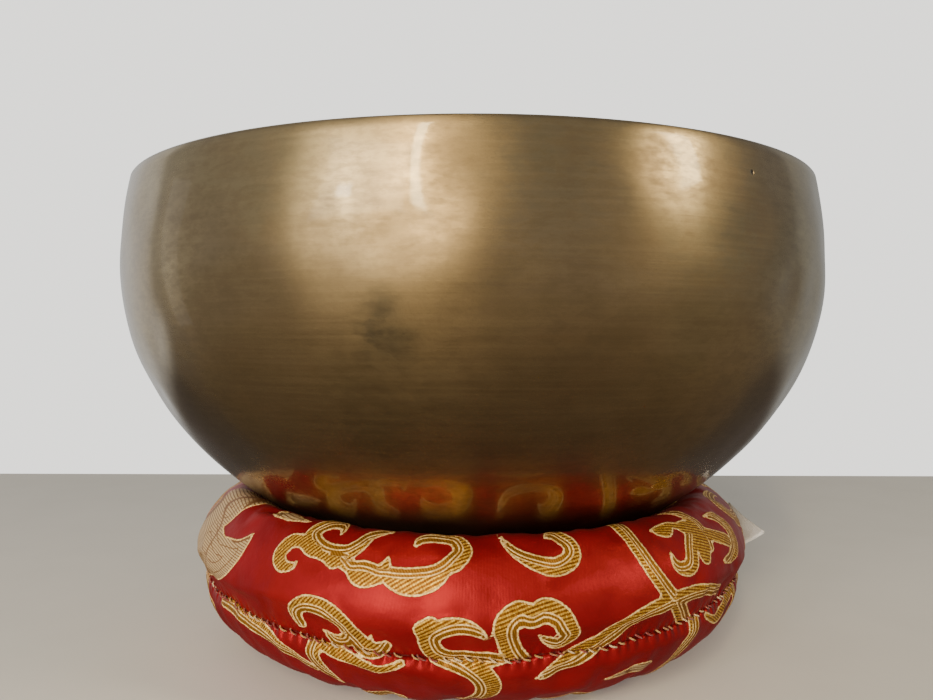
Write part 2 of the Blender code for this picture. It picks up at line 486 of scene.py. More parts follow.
HALF_CLOUD = (
    (1, ((-13, 8, 0.5), (-9.5, 2.5, 1.6), (-4, -1, 2.4), (1, -2.2, 2.7), (5, -1.2, 2.8), (7.2, 1.4, 2.4),
         (6.4, 4.6, 2.4), (3.6, 7.4, 2.2), (0.5, 6.4, 0.6))),
)
FLAME = (
    (0, ((-19, 7, 0.3), (-14, 6, 2.6), (-9, 7, 1.3), (-5, 5, 2.0))),
    (1, ((-7, 13, 0.4), (1, 9, 1.8), (3, 4, 2.8), (2, -3, 1.8))),
    (0, ((-5, 6, 1.5), (-1, 2, 4.5), (-3, -5, 2.6))),
    (1, ((-17, 0, 0.4), (-16, -5, 1.8), (-11, -6, 2.6), (-7, -1, 2.6), (-2, 3, 3.0))),
    (-1, ((12, 6, 0.4), (19, 3, 2.6), (21, -3, 3.2), (15, -9, 2.6), (6, -9, 0.8))),
    (0, ((4, 1, 2.4), (14, -4, 2.6))),
)
STRAP = (
    (1, ((-3, 15, 2.5), (-2, 6, 2.5), (-0.2, -1, 2.5), (3.2, -8, 2.6), (8.2, -15, 2.6), (14.5, -22.5, 2.6))),
)
RIBBON = (
    (-1, ((-35, -14, 0.3), (-31, -12, 1.8), (-24, -8.2, 3.0), (-16, -3.0, 3.0), (-8, 1.0, 2.8),
          (0, 3.0, 2.7), (9, 3.4, 2.7), (18, 2.2, 2.5), (30, -2.5, 1.8))),
)
PEONY = (
    (0, ((-6, 30, 6), (-6, 20, 9), (-10, 10, 11), (-14, 0, 12), (-16, -9, 9), (-14, -17, 4))),
    (0, ((-4, -2, 9), (6, -5, 8), (12.5, -3.5, 6.6), (18.5, 0.2, 3.8), (22.5, 7.0, 0.2))),
    (0, ((0, 12, 8), (6, 17, 6), (10, 20, 5), (14, 25, 3))),
    (0, ((-8, -9, 7), (4, -10, 3.5), (8, -12, 0.6))),
)
LEAF = ((0, ((-9, 0, 0.6), (-6, 0.2, 2.1), (-1, 0, 1.8), (4, -0.3, 1.1), (9, -0.6, 0.3))),)
TRAIL = (
    (1, ((20, -11, 1.0), (12, -7, 2.0), (3, -3, 2.4), (-8, -1.5, 2.4), (-20, -1, 2.2))),
    (-1, ((22, 1, 2.4), (21, -5, 2.4), (23, -11, 1.8), (27, -16, 0.5))),
    (0, ((24, -1, 1.8), (32, -3, 2.0), (40, -5, 1.5), (46, -2, 1.2))),
)
CURL = ((-1, ((-8, 2, 2.0), (-1, 0, 3.2), (4, -4, 3.6), (5, -10, 3.2), (1, -16, 1.6), (-4, -18, 0.4))),)
BAR = ((1, ((2, 3, 2.1), (1, -4, 2.1), (-1, -12, 2.1), (-5, -22, 2.1))),)

# Where each scroll is woven: degrees round from the front, millimetres up from the outer seam, 1 or -1
# to mirror it, and how pale its thread is.
UPPER_SCROLLS = (
    (CLOUD, -18.3, 25.2, 1, 0), (SCROLL, -22.0, 3.5, 1, 0), (HOOK, -2.6, 5.2, 1, 0),
    (FLOWER, 9.5, 8.0, 1, 0), (HALF_CLOUD, 12.8, 27.2, 1, 0), (STRAP, 31.0, 21.5, 1, 0),
    (RIBBON, 31.5, 7.0, 1, 0), (FLAME, 47.0, 24.0, 1, 0), (PEONY, -58.5, 19.5, 1, 1),
    (LEAF, -38.5, 34.6, 1, 1), (CLOUD, 84.0, 24.0, -1, 0), (HOOK, 74.0, 6.0, -1, 0),
    (FLOWER, 96.0, 8.5, -1, 0), (SCROLL, 112.0, 4.0, 1, 0), (SCROLL, -20.0, 53.0, -1, 0),
    (HOOK, 22.0, 58.0, 1, 0), (FLOWER, 68.0, 54.0, 1, 0), (HALF_CLOUD, 108.0, 57.0, 1, 0),
    (SCROLL, 152.0, 54.0, 1, 0), (HOOK, -164.0, 57.0, -1, 0), (FLOWER, -120.0, 53.0, -1, 0),
    (CLOUD, -68.0, 57.0, 1, 0), (FLAME, 116.0, 24.0, -1, 0), (PEONY, 139.0, 18.0, -1, 1),
    (CLOUD, 165.0, 23.0, 1, 0), (SCROLL, 158.0, 4.0, -1, 0), (HOOK, 176.0, 6.0, 1, 0),
    (FLOWER, -168.0, 8.5, 1, 0), (HALF_CLOUD, -157.0, 26.0, -1, 0), (STRAP, -146.0, 21.5, -1, 0),
    (RIBBON, -143.0, 7.0, -1, 0), (FLAME, -128.0, 21.0, 1, 0), (SCROLL, -107.0, 5.0, -1, 0),
    (CLOUD, -95.0, 25.0, -1, 0), (HOOK, -82.0, 6.0, 1, 0),
)
LOWER_SCROLLS = (
    (RIBBON, 31.5, 7.0, 1, 0), (RIBBON, -143.0, 7.0, -1, 0), (SCROLL, -22.0, 3.5, 1, 0),
    (HOOK, -2.6, 5.2, 1, 0), (TRAIL, -40.0, 0.0, 1, 0), (CURL, -0.8, -1.5, 1, 0),
    (LEAF, 27.5, -12.0, -1, 1), (BAR, 41.0, -1.0, 1, 0), (CURL, -18.0, -22.0, -1, 0),
    (FLOWER, 20.0, -30.0, 1, 0), (TRAIL, 75.0, 0.0, -1, 0), (CURL, 110.0, -3.0, 1, 0),
    (FLOWER, 88.0, -24.0, -1, 0), (BAR, 135.0, -1.0, -1, 0), (HALF_CLOUD, 152.0, -14.0, 1, 0),
    (TRAIL, 180.0, 0.0, 1, 0), (CURL, -150.0, -4.0, -1, 0), (FLOWER, -135.0, -20.0, 1, 0),
    (BAR, -112.0, -1.0, 1, 0), (HALF_CLOUD, -88.0, -15.0, -1, 0), (CURL, -68.0, -6.0, 1, 0),
)
SCROLL_REACH_ACROSS = 60.0
SCROLL_REACH_UP = 45.0
MILLIMETRES_PER_DEGREE = 1.6
STROKE_FINENESS = 8
FAR_FROM_GOLD = 8.0

# The threads run as on a flat disc of cloth, in millimetres.
FLAT_RADIUS = 104.0
FLAT_SHARE = 0.9

# How far the gold stands up, in metres, two creases at the crest, and a bulge against the bowl. Their
# places are in millimetres round from the front and up from the outer seam.
GOLD_RELIEF = 0.0002
CREASE_DEPTH = 0.0016
CREASES = (((-64, 37.5, 1.0), (-69, 35, 0.9), (-76, 33.5, 0.3)), ((-62, 37.5, 0.9), (-57, 35.5, 0.2)))
BULGE_HEIGHT = 0.0022
BULGE_ACROSS, BULGE_HALF_WIDTH = -93.0, 32.0
BULGE_UP, BULGE_HALF_HEIGHT = 33.0, 5.5


def smooth_stroke(points):
    """Close points on the smooth curve through a stroke's points (a Catmull-Rom curve)."""
    knots = np.array([points[0], *points, points[-1]], float)
    curve = []
    for a, b, c, d in zip(knots, knots[1:], knots[2:], knots[3:]):
        for t in np.arange(STROKE_FINENESS) / STROKE_FINENESS:
            bend = 2 * b + (c - a) * t + (2 * a - 5 * b + 4 * c - d) * t**2 + (3 * b - a - 3 * c + d) * t**3
            curve.append(bend / 2)
    return np.array([*curve, knots[-1]])


def to_stroke(points, across, up):
    """How far outside the stroke's edge each place is, how far left of its middle, and half its width."""
    curve = smooth_stroke(points)
    nearest = np.full(len(across), 1e3)
    left = np.zeros(len(across))
    half = np.zeros(len(across))
    for (x0, y0, w0), (x1, y1, w1) in zip(curve, curve[1:]):
        dx, dy = x1 - x0, y1 - y0
        length = math.hypot(dx, dy) or 1e-6
        along = np.clip(((across - x0) * dx + (up - y0) * dy) / length**2, 0.0, 1.0)
        off_x, off_y = across - x0 - along * dx, up - y0 - along * dy
        width = w0 + (w1 - w0) * along
        edge = np.hypot(off_x, off_y) - width
        closer = edge < nearest
        nearest = np.where(closer, edge, nearest)
        left = np.where(closer, (dx * off_y - dy * off_x) / length, left)
        half = np.where(closer, width, half)
    return nearest, left, half


def weave(piece, scrolls):
    """Stores, for each point of the cloth, how far it is from the gold, and where it is within a stroke."""
    mesh = piece.data
    where = places(mesh)
    up = floats(mesh, "from_seam") * 1000.0
    degrees = np.degrees(np.arctan2(where[:, 0], -where[:, 1]))
    edge = np.full(len(up), FAR_FROM_GOLD)
    inner = np.full(len(up), FAR_FROM_GOLD)
    pale = np.zeros(len(up))
    for strokes, azimuth, height, mirror, paleness in scrolls:
        across = ((degrees - azimuth + 180.0) % 360.0 - 180.0) * MILLIMETRES_PER_DEGREE * mirror
        above = up - height
        near = np.flatnonzero((np.abs(across) < SCROLL_REACH_ACROSS) & (np.abs(above) < SCROLL_REACH_UP))
        for side, points in strokes:
            distance, left, half = to_stroke(points, across[near], above[near])
            closer = distance < edge[near]
            chosen = near[closer]
            edge[chosen] = distance[closer]
            inner[chosen] = (half - side * left)[closer] if side else FAR_FROM_GOLD
            pale[chosen] = paleness
    keep_floats(mesh, "gold_edge", edge)
    keep_floats(mesh, "inner_edge", inner)
    keep_floats(mesh, "paleness", pale)
    radius = FLAT_RADIUS - FLAT_SHARE * up
    around = np.radians(degrees)
    keep_floats(mesh, "weft", radius * np.sin(around))
    keep_floats(mesh, "warp", -radius * np.cos(around))
    normals = normals_of(mesh)
    raised = GOLD_RELIEF * np.clip(0.5 - edge, 0.0, 1.0)
    across = degrees * MILLIMETRES_PER_DEGREE
    for points in CREASES:
        distance, _, _ = to_stroke(points, across, up)
        raised -= CREASE_DEPTH * np.exp(-np.clip(distance + 1.0, 0.0, 9.0) ** 2)
    bulge_side = ((across - BULGE_ACROSS) / BULGE_HALF_WIDTH) ** 2
    raised += BULGE_HEIGHT * np.exp(-bulge_side - ((up - BULGE_UP) / BULGE_HALF_HEIGHT) ** 2)
    where += normals * raised[:, None]
    where[:, 2] = np.maximum(where[:, 2], 0.0)
    move_points(mesh, where)


weave(top_panel, UPPER_SCROLLS)
weave(bottom_panel, LOWER_SCROLLS)

# Pitches and places of the threads, in millimetres. GRAIN is the slant of the gold ribs.
GRAIN = (0.92, 0.38)
RIB_PITCH = 0.9
GOLD_THREAD_PITCH = 0.6
SATIN_PITCH = 0.34
HATCH_PITCH = 0.95
INNER_LINES = (1.75, 2.75)
PETAL_LINES = (-3.0, -6.2)
PUCKERS = 186


def brocade_finish():
    brocade = Finish(
        "brocade",
        sheen_weight=0.04,
        sheen_roughness=0.3,
        sheen_tint=(1.0, 0.3, 0.25),
        specular_ior_level=0.2,
    )
    weft, warp = brocade.stored("weft"), brocade.stored("warp")
    inner, pale = brocade.stored("inner_edge"), brocade.stored("paleness")
    place = brocade.place()
    x, y = brocade.parts(place)[:2]
    glints = brocade.noise(place, 1500.0, 1.0)
    edge = brocade.stored("gold_edge") + (brocade.noise(place, 1100.0, 2.0) - 0.5) * 0.45
    gold = brocade.fade(edge, 0.08, -0.08)

    outline = brocade.fade(edge, -0.62, -0.42)
    inner_lines = brocade.math("MAXIMUM", *(brocade.line(inner, middle, 0.2) for middle in INNER_LINES))
    lines = gold * brocade.math("MAXIMUM", outline, inner_lines * (1.0 - pale))
    ribs = brocade.ridges(warp * GRAIN[0] - weft * GRAIN[1], RIB_PITCH)
    threads = brocade.ridges(weft * GRAIN[0] + warp * GRAIN[1], GOLD_THREAD_PITCH)
    ribbed = brocade.fade(inner, 2.8, 3.0)
    lit_rib = brocade.fade(ribs + threads * 0.4, -0.4, 0.5)

    bright = brocade.mix(brocade.fade(glints, 0.4, 0.7), (0.55, 0.29, 0.03), (0.90, 0.56, 0.10))
    dark = brocade.mix(brocade.fade(glints, 0.3, 0.7), (0.17, 0.058, 0.008), (0.30, 0.125, 0.018))
    plain = brocade.mix(brocade.fade(threads, -0.8, 0.8), (0.22, 0.085, 0.010), (0.36, 0.165, 0.022))
    scroll = brocade.mix(ribbed, plain, brocade.mix(lit_rib, dark, bright))
    bends = brocade.noise(place, 30.0, 1.0)
    curls = brocade.ridges(bends * 6.0 + brocade.stored("from_seam") * 1000.0 + weft * 0.15, HATCH_PITCH)
    veins = brocade.line(brocade.noise(place, 46.0, 0.0), 0.5, 0.013, 0.008)
    petals = brocade.math("MAXIMUM", *(brocade.line(edge, middle, 0.16) for middle in PETAL_LINES))
    hatch = brocade.fade(curls, -0.85, -0.1) * (1.0 - brocade.math("MAXIMUM", veins, petals))
    champagne = brocade.mix(hatch, (0.25, 0.115, 0.04), (0.70, 0.51, 0.27))
    scroll = brocade.mix(pale, scroll, champagne)
    cream = brocade.mix(brocade.fade(glints, 0.3, 0.7), (0.62, 0.36, 0.10), (0.98, 0.72, 0.32))
    scroll = brocade.mix(lines, scroll, cream)

    shades = brocade.fade(brocade.noise(place, 70.0, 4.0), 0.3, 0.7)
    satin = brocade.ridges(weft, SATIN_PITCH)
    red = brocade.mix(shades, (0.215, 0.008, 0.010), (0.29, 0.012, 0.014))
    red = brocade.mix(brocade.fade(satin, -1.0, 1.0, 0.0, 0.13), red, (0.55, 0.010, 0.032))
    colour = brocade.mix(gold, red, scroll)

    around = brocade.math("ARCTAN2", y, x)
    near_seam = brocade.fade(brocade.math("ABSOLUTE", brocade.stored("from_seam")), 0.0042, 0.0)
    gathers = brocade.math("SINE", around * PUCKERS + brocade.noise(place, 90.0, 1.0) * 5.0) * near_seam
    woven = gold * (0.5 + lines * 0.3 + ribbed * lit_rib * 0.35) + satin * (1.0 - gold) * 0.018
    fine = brocade.noise(place, 800.0, 2.0) * 0.14 + brocade.noise(place, 160.0, 3.0) * 0.5
    brocade.surface(
        Base_Color=colour,
        Roughness=0.34 + gold * 0.06 + brocade.noise(place, 300.0, 2.0) * 0.1,
        Metallic=0.6 + gold * (0.08 - lines * 0.25),
        Normal=brocade.bump(woven + fine + gathers * 0.9, 0.0004, 0.8),
    )
    return brocade.material


def give_thickness(piece, thickness, offset=-1.0):
    """Turns a sheet into a closed shell, grown to the back of its faces."""
    solid = piece.modifiers.new("thickness", "SOLIDIFY")
    solid.thickness = thickness
    solid.offset = offset
    apply_modifiers(piece)


brocade_material = brocade_finish()
for piece, node in ((top_panel, "cushion_cover_top"), (bottom_panel, "cushion_cover_bottom")):
    outside = bpy.data.meshes[piece.data.name].copy()
    piece["outside"] = outside.name
    give_thickness(piece, CLOTH_THICKNESS)
    piece.data.materials.append(brocade_material)
    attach(piece, "cushion")
    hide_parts(node)


# ---- Cotton packing ----
# Loose cotton wadding, rammed into the cloth ring by hand until it is hard. It is a size smaller than
# the covers, and lumpy.

PACKING_SHARE = 0.86
PACKING_STEP = 0.004
PACKING_TURN_STEPS = 144
LUMP_SIZE = 0.0005


def packing():
    outline = [*upper_section(), *lower_section()[::-1][1:-1]]
    points = [HEART + (point - HEART) * PACKING_SHARE for point in outline]
    spaced, _ = evenly_spaced([*points, points[0]], PACKING_STEP)
    bm = bmesh.new()
    verts = [bm.verts.new((radius, 0.0, height)) for radius, height in spaced[:-1]]
    edges = [bm.edges.new(pair) for pair in zip(verts, verts[1:] + verts[:1])]
    spin_round(bm, verts, edges, PACKING_TURN_STEPS)
    bmesh.ops.recalc_face_normals(bm, faces=bm.faces)
    for vert in bm.verts:
        x, y, z = vert.co * 1000.0
        lump = math.sin(0.31 * x + 2.0) * math.sin(0.27 * y + 0.5)
        lump += math.sin(0.45 * z + 0.11 * x) * math.sin(0.17 * y)
        vert.co += vert.normal * LUMP_SIZE * lump
    return add_to_scene("cotton_packing", bm, smooth=True)


cotton = Finish("cotton", sheen_weight=0.5, sheen_roughness=0.6)
cotton_place = cotton.place()
fibres = cotton.noise(cotton.stretched(cotton_place, 1.0, 0.35, 1.0), 900.0, 4.0, 0.7)
tufts = cotton.noise(cotton_place, 120.0, 3.0)
packed = cotton.fade(tufts + fibres * 0.5, 0.45, 0.95)
cotton.surface(
    Base_Color=cotton.mix(packed, (0.62, 0.57, 0.48), (0.84, 0.81, 0.74)),
    Roughness=0.88 + fibres * 0.1,
    Normal=cotton.bump(tufts * 1.2 + fibres * 0.6, 0.0012),
)
filling = packing()
filling.data.materials.append(cotton.material)
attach(filling, "cushion")
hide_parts("stuffing_ring")


# ---- Hand stitches ----
# Two seams, whipped by hand with doubled thread: round the widest part, and inside the hole. Each
# stitch goes over the seam on a slant, and its ends go down into the cloth.

OUTER_STITCHES = 198
INNER_STITCHES = 66
THREAD_RADIUS = 0.00026
STITCH_SIDES = 5
STITCH_ARCH = 0.00045
STITCH_LIFT = 0.00012
STITCH_END_DEPTH = 0.0006

# In millimetres: how far a stitch reaches over the seam, how far it slants, and the cloth looked at.
STITCH_REACH = 0.85
STITCH_SLANT = 1.9
SLANT_SPREAD = 0.8
SEAM_BAND = 3.5


def uneven(number, seed):
    """A steady number from 0 to 1 that looks chosen by chance."""
    return (math.sin(number * 12.9898 + seed * 78.233) * 43758.5453) % 1.0


def cloth_at_seam(inner):
    """The cloth's points near a seam: angles, millimetres above the seam, places and normals."""
    found = []
    for piece, upper in ((top_panel, True), (bottom_panel, False)):
        mesh = bpy.data.meshes[piece["outside"]]
        from_outer = floats(mesh, "from_seam") * 1000.0
        above = from_outer
        if inner:
            above = SEAM_TO_SEAM * 1000.0 - from_outer if upper else -LOWER_SEAM_TO_SEAM * 1000.0 - from_outer
        near = np.abs(above) < SEAM_BAND
        where = places(mesh)[near]
        around = np.arctan2(where[:, 1], where[:, 0])
        found.append(np.column_stack([around, above[near], where, normals_of(mesh)[near]]))
    return np.concatenate(found)


def on_cloth(cloth, around, above, radius):
    """The place and the normal of the cloth, near an angle and a height above the seam."""
    off_angle = ((cloth[:, 0] - around + math.pi) % math.tau - math.pi) * radius * 1000.0
    distance = np.hypot(off_angle, cloth[:, 1] - above)
    nearest = np.argpartition(distance, 4)[:4]
    share = 1.0 / (distance[nearest] + 0.05)
    mean = (cloth[nearest] * share[:, None]).sum(0) / share.sum()
    return Vector(mean[2:5]), Vector(mean[5:8]).normalized()


def add_thread(bm, path, layer, shade):
    """A closed tube of thread through a few points."""
    rings = []
    for index, point in enumerate(path):
        along = (path[min(index + 1, len(path) - 1)] - path[max(index - 1, 0)]).normalized()
        side = along.orthogonal().normalized()
        over = along.cross(side)
        ring = []
        for step in range(STITCH_SIDES):
            angle = math.tau * step / STITCH_SIDES
            vert = bm.verts.new(point + (side * math.cos(angle) + over * math.sin(angle)) * THREAD_RADIUS)
            vert[layer] = shade
            ring.append(vert)
        rings.append(ring)
    for first, second in zip(rings, rings[1:]):
        for step in range(STITCH_SIDES):
            after = (step + 1) % STITCH_SIDES
            bm.faces.new((first[step], first[after], second[after], second[step]))
    bm.faces.new(rings[0][::-1])
    bm.faces.new(rings[-1])


def stitches(name, count, inner):
    cloth = cloth_at_seam(inner)
    radius = INNER_SEAM.x if inner else OUTER_SEAM.x
    bm = bmesh.new()
    layer = bm.verts.layers.float.new("shade")
    for number in range(count):
        around = math.tau * (number + 0.5 * uneven(number, 1)) / count
        slant = (STITCH_SLANT + SLANT_SPREAD * uneven(number, 2)) * 0.001 / radius
        reach_up = STITCH_REACH * (0.6 + 0.6 * uneven(number, 3))
        reach_down = STITCH_REACH * (0.6 + 0.6 * uneven(number, 4))
        start_point, start_normal = on_cloth(cloth, around - slant / 2, reach_up, radius)
        end_point, end_normal = on_cloth(cloth, around + slant / 2, -reach_down, radius)
        middle_normal = (start_normal + end_normal).normalized()
        path = []
        for part in steps_between(0.0, 1.0, 6):
            point = start_point.lerp(end_point, part)
            height = 1.0 - (2.0 * part - 1.0) ** 2
            path.append(point + middle_normal * (STITCH_ARCH * height + STITCH_LIFT))
        path[0] -= start_normal * STITCH_END_DEPTH
        path[-1] -= end_normal * STITCH_END_DEPTH
        add_thread(bm, path, layer, uneven(number, 5))
    bmesh.ops.recalc_face_normals(bm, faces=bm.faces)
    return add_to_scene(name, bm, smooth=True)


thread = Finish("sewing_thread", sheen_weight=0.2)
thread_place = thread.place()
thread_shade = thread.stored("shade")
twist = thread.ridges(thread.parts(thread_place)[0] + thread.parts(thread_place)[2] * 1.3, 0.00035)
thread_colour = thread.mix(thread.fade(thread_shade, 0.3, 0.45), (0.25, 0.02, 0.012), (0.52, 0.27, 0.07))
thread_colour = thread.mix(thread.fade(thread_shade, 0.68, 0.8), thread_colour, (0.78, 0.55, 0.28))
thread.surface(
    Base_Color=thread.mix(thread.fade(twist, -1.0, 1.0, 0.0, 0.35), thread_colour, (0.12, 0.04, 0.015)),
    Roughness=0.45 + thread.noise(thread_place, 2000.0, 1.0) * 0.2,
    Normal=thread.bump(twist, 0.00008),
)
for name, count, inner, node in (
    ("outer_seam_stitches", OUTER_STITCHES, False, "outer_seam_thread"),
    ("inner_seam_stitches", INNER_STITCHES, True, "inner_seam_thread"),
):
    piece = stitches(name, count, inner)
    piece.data.materials.append(thread.material)
    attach(piece, "cushion")
    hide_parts(node)
for piece in (top_panel, bottom_panel):
    bpy.data.meshes.remove(bpy.data.meshes[piece["outside"]])
    del piece["outside"]


# ---- Label ----
# A white woven ribbon, folded double and caught in the outer seam. It curls up, more at its far side.

LABEL_WIDTH = 0.022
LABEL_LENGTH = 0.0176
LABEL_SHORTER = 0.0035
LABEL_CURL = 0.0062
LABEL_TWIST = 0.0062
LABEL_CURL_POWER = 1.6
LABEL_WAVE = 0.0004
LABEL_TUCK = 0.001
LABEL_AZIMUTH = math.radians(6.0)
LABEL_STEPS = 16
RIBBON_THICKNESS = 0.00024
FOLD_RADIUS = 0.0002
FOLD_BULGE = 0.012


def label():
    bm = bmesh.new()
    layers = [bm.verts.layers.float.new(name) for name in ("ribbon_along", "ribbon_across")]
    outward = [(part, -1.0) for part in steps_between(0.0, 1.0, LABEL_STEPS)]
    turns = [math.pi * part for part in steps_between(0.2, 0.8, 3)]
    fold = [(1.0 + FOLD_BULGE * math.sin(turn), -math.cos(turn)) for turn in turns]
    path = outward + fold + [(part, 1.0) for part in steps_between(1.0, 0.0, LABEL_STEPS)]
    rows = []
    for across in steps_between(0.0, 1.0, LABEL_STEPS):
        row = []
        for step, (out, face) in enumerate(path):
            length = LABEL_LENGTH - LABEL_SHORTER * across
            rise = (LABEL_CURL + LABEL_TWIST * across) * out**LABEL_CURL_POWER
            wave = LABEL_WAVE * math.sin(5.0 * across + 2.0) * out
            height = OUTER_SEAM_HEIGHT + rise + wave + face * FOLD_RADIUS * (1.0 + 0.6 * out)
            out_from_axis = OUTER_SEAM.x - LABEL_TUCK + length * out
            vert = bm.verts.new((out_from_axis, (across - 0.5) * LABEL_WIDTH, height))
            vert[layers[0]] = step * 1.0
            vert[layers[1]] = across * LABEL_WIDTH * 1000.0
            row.append(vert)
        rows.append(row)
    for first, second in zip(rows, rows[1:]):
        for step in range(len(path) - 1):
            bm.faces.new((first[step], first[step + 1], second[step + 1], second[step]))
    bmesh.ops.rotate(bm, verts=bm.verts, cent=(0, 0, 0), matrix=Matrix.Rotation(LABEL_AZIMUTH, 3, "Z"))
    piece = add_to_scene("ribbon_label", bm)
    give_thickness(piece, RIBBON_THICKNESS, 0.0)
    return piece


ribbon = Finish("label_ribbon", sheen_weight=0.2)
ribbon_place = ribbon.place()
ribbon_across = ribbon.stored("ribbon_across")
picks = ribbon.ridges(ribbon.stored("ribbon_along"), 0.33)
ends = ribbon.ridges(ribbon_across, 0.42)
selvedge = ribbon.fade(ribbon.math("ABSOLUTE", ribbon_across - LABEL_WIDTH * 500.0), 9.9, 10.2)
ribbon_shade = ribbon.fade(ribbon.noise(ribbon_place, 150.0, 3.0), 0.3, 0.7)
ribbon_colour = ribbon.mix(ribbon_shade, (0.86, 0.82, 0.76), (0.93, 0.91, 0.87))
ribbon.surface(
    Base_Color=ribbon.mix(ribbon.fade(picks * ends, 0.3, 1.0, 0.0, 0.3), ribbon_colour, (0.68, 0.64, 0.58)),
    Roughness=0.5 + ribbon.noise(ribbon_place, 900.0, 2.0) * 0.2,
    Normal=ribbon.bump(picks * 0.4 + ends * 0.5 + selvedge * 0.8, 0.00012),
)
woven_label = label()
woven_label.data.materials.append(ribbon.material)
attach(woven_label, "cushion")
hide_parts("woven_label")


# ---- Bowl ----
# One piece of bronze, beaten up from a disc over a stake, then brushed and ground flat along its rim.

WALL = 0.0028
RIM_RADIUS = 0.973 * BOWL_RADIUS
RIM_EDGE = 0.0005
BOWL_STEPS = 288
DENTS = 560
DENT_REACH = 0.0072
DENT_DEPTH = 0.00032
DENTS_ABOVE_BASE = 0.001
DENTS_BELOW_RIM = 0.006
DENT_FADE = 0.004
GOLDEN_TURN = math.pi * (3.0 - math.sqrt(5.0))


def bowl_radius_at(depth):
    if depth < BELLY_DEPTH:
        return BOWL_RADIUS - (BOWL_RADIUS - RIM_RADIUS) * (1.0 - depth / BELLY_DEPTH) ** 2
    below = (depth - BELLY_DEPTH) / (POLE_DEPTH - BELLY_DEPTH)
    return BOWL_RADIUS * (1.0 - below**DEPTH_POWER) ** (1.0 / RADIUS_POWER)


def bowl_outside():
    """From the rim down to the flat base, as (radius, height)."""
    points = [Vector((bowl_radius_at(d), RIM_HEIGHT - d)) for d in steps_between(RIM_EDGE, BELLY_DEPTH, 12)]
    base_depth = RIM_HEIGHT - BASE_HEIGHT
    base_radius = bowl_radius_at(base_depth)
    for angle in steps_between(0.0, math.pi / 2, 60)[1:]:
        radius = base_radius + (BOWL_RADIUS - base_radius) * math.cos(angle)
        points.append(Vector((radius, RIM_HEIGHT - bowl_depth_at(radius))))
    return points + [Vector((radius, BASE_HEIGHT)) for radius in steps_between(base_radius, 0.0, 6)[1:]]


def raised_bowl():
    outside = bowl_outside()
    section = [Vector((RIM_RADIUS - 0.3 * RIM_EDGE, RIM_HEIGHT - 0.3 * RIM_EDGE)), *outside]
    section.insert(0, Vector((RIM_RADIUS - RIM_EDGE, RIM_HEIGHT)))
    inside = []
    for before, point, after in zip(outside, outside[1:], outside[2:]):
        along = (after - before).normalized()
        inside.append(point + Vector((along.y, -along.x)) * WALL)
    inside.append(Vector((0.0, BASE_HEIGHT + WALL)))
    inner_radius = RIM_RADIUS - WALL
    lip = [Vector((inner_radius + RIM_EDGE, RIM_HEIGHT)), Vector((inner_radius, RIM_HEIGHT - RIM_EDGE))]
    section = section[::-1] + lip + inside
    bm = bmesh.new()
    verts = [bm.verts.new((max(point.x, 0.0), 0.0, point.y)) for point in section]
    spin_round(bm, verts, [bm.edges.new(pair) for pair in zip(verts, verts[1:])], BOWL_STEPS)
    bmesh.ops.remove_doubles(bm, verts=bm.verts, dist=TINY)
    bmesh.ops.recalc_face_normals(bm, faces=bm.faces)
    return add_to_scene("hammered_bowl", bm, smooth=True)


def hammer(mesh):
    """Presses in the shallow round marks of the hammer, in a spiral from the base to the rim."""
    where = places(mesh)
    reach = np.hypot(where[:, 0], where[:, 1])
    inward = -where * np.array([1.0, 1.0, 0.0]) / np.maximum(reach, 0.02)[:, None]
    inward[:, 2] = np.clip(1.0 - reach / BOWL_RADIUS, 0.0, 1.0) * 1.2
    inward /= np.linalg.norm(inward, axis=1)[:, None]
    lowest, highest = BASE_HEIGHT + DENTS_ABOVE_BASE, RIM_HEIGHT - DENTS_BELOW_RIM
    pressed = np.zeros(len(where))
    for number in range(DENTS):
        height = lowest + (highest - lowest) * (number + 0.5) / DENTS
        turn = GOLDEN_TURN * number + 0.5 * math.sin(number * 1.7)
        radius = bowl_radius_at(RIM_HEIGHT - height)
        centre = np.array([radius * math.cos(turn), radius * math.sin(turn), height])
        depth = DENT_DEPTH * (0.55 + 0.45 * math.sin(number * 2.3))
        pressed += depth * np.exp(-((where - centre) ** 2).sum(1) / DENT_REACH**2)
    below_rim = np.clip((RIM_HEIGHT - where[:, 2]) / DENT_FADE, 0.0, 1.0)
    where += inward * (pressed * below_rim)[:, None]
    move_points(mesh, where)


bowl = raised_bowl()
hammer(bowl.data)

# Dark stains, each with its middle and its reach, and one small pit under the rim.
STAINS = (
    ((-0.020, -0.117, 0.109), 0.0085),
    ((-0.019, -0.115, 0.1005), 0.0100),
    ((-0.023, -0.115, 0.1025), 0.0050),
)
PIT = (0.0683, -0.0966, 0.1427)
PIT_RADIUS = 0.0009
STAIN_RAGGEDNESS = 0.009

# Between these heights the bronze darkens downwards as painted shade, and is darker and rougher in a band
# just above the cushion.
DARKER = (0.100, 0.050)
CUSHION_BAND = (0.064, 0.050)
GROUND_RIM = 0.0012


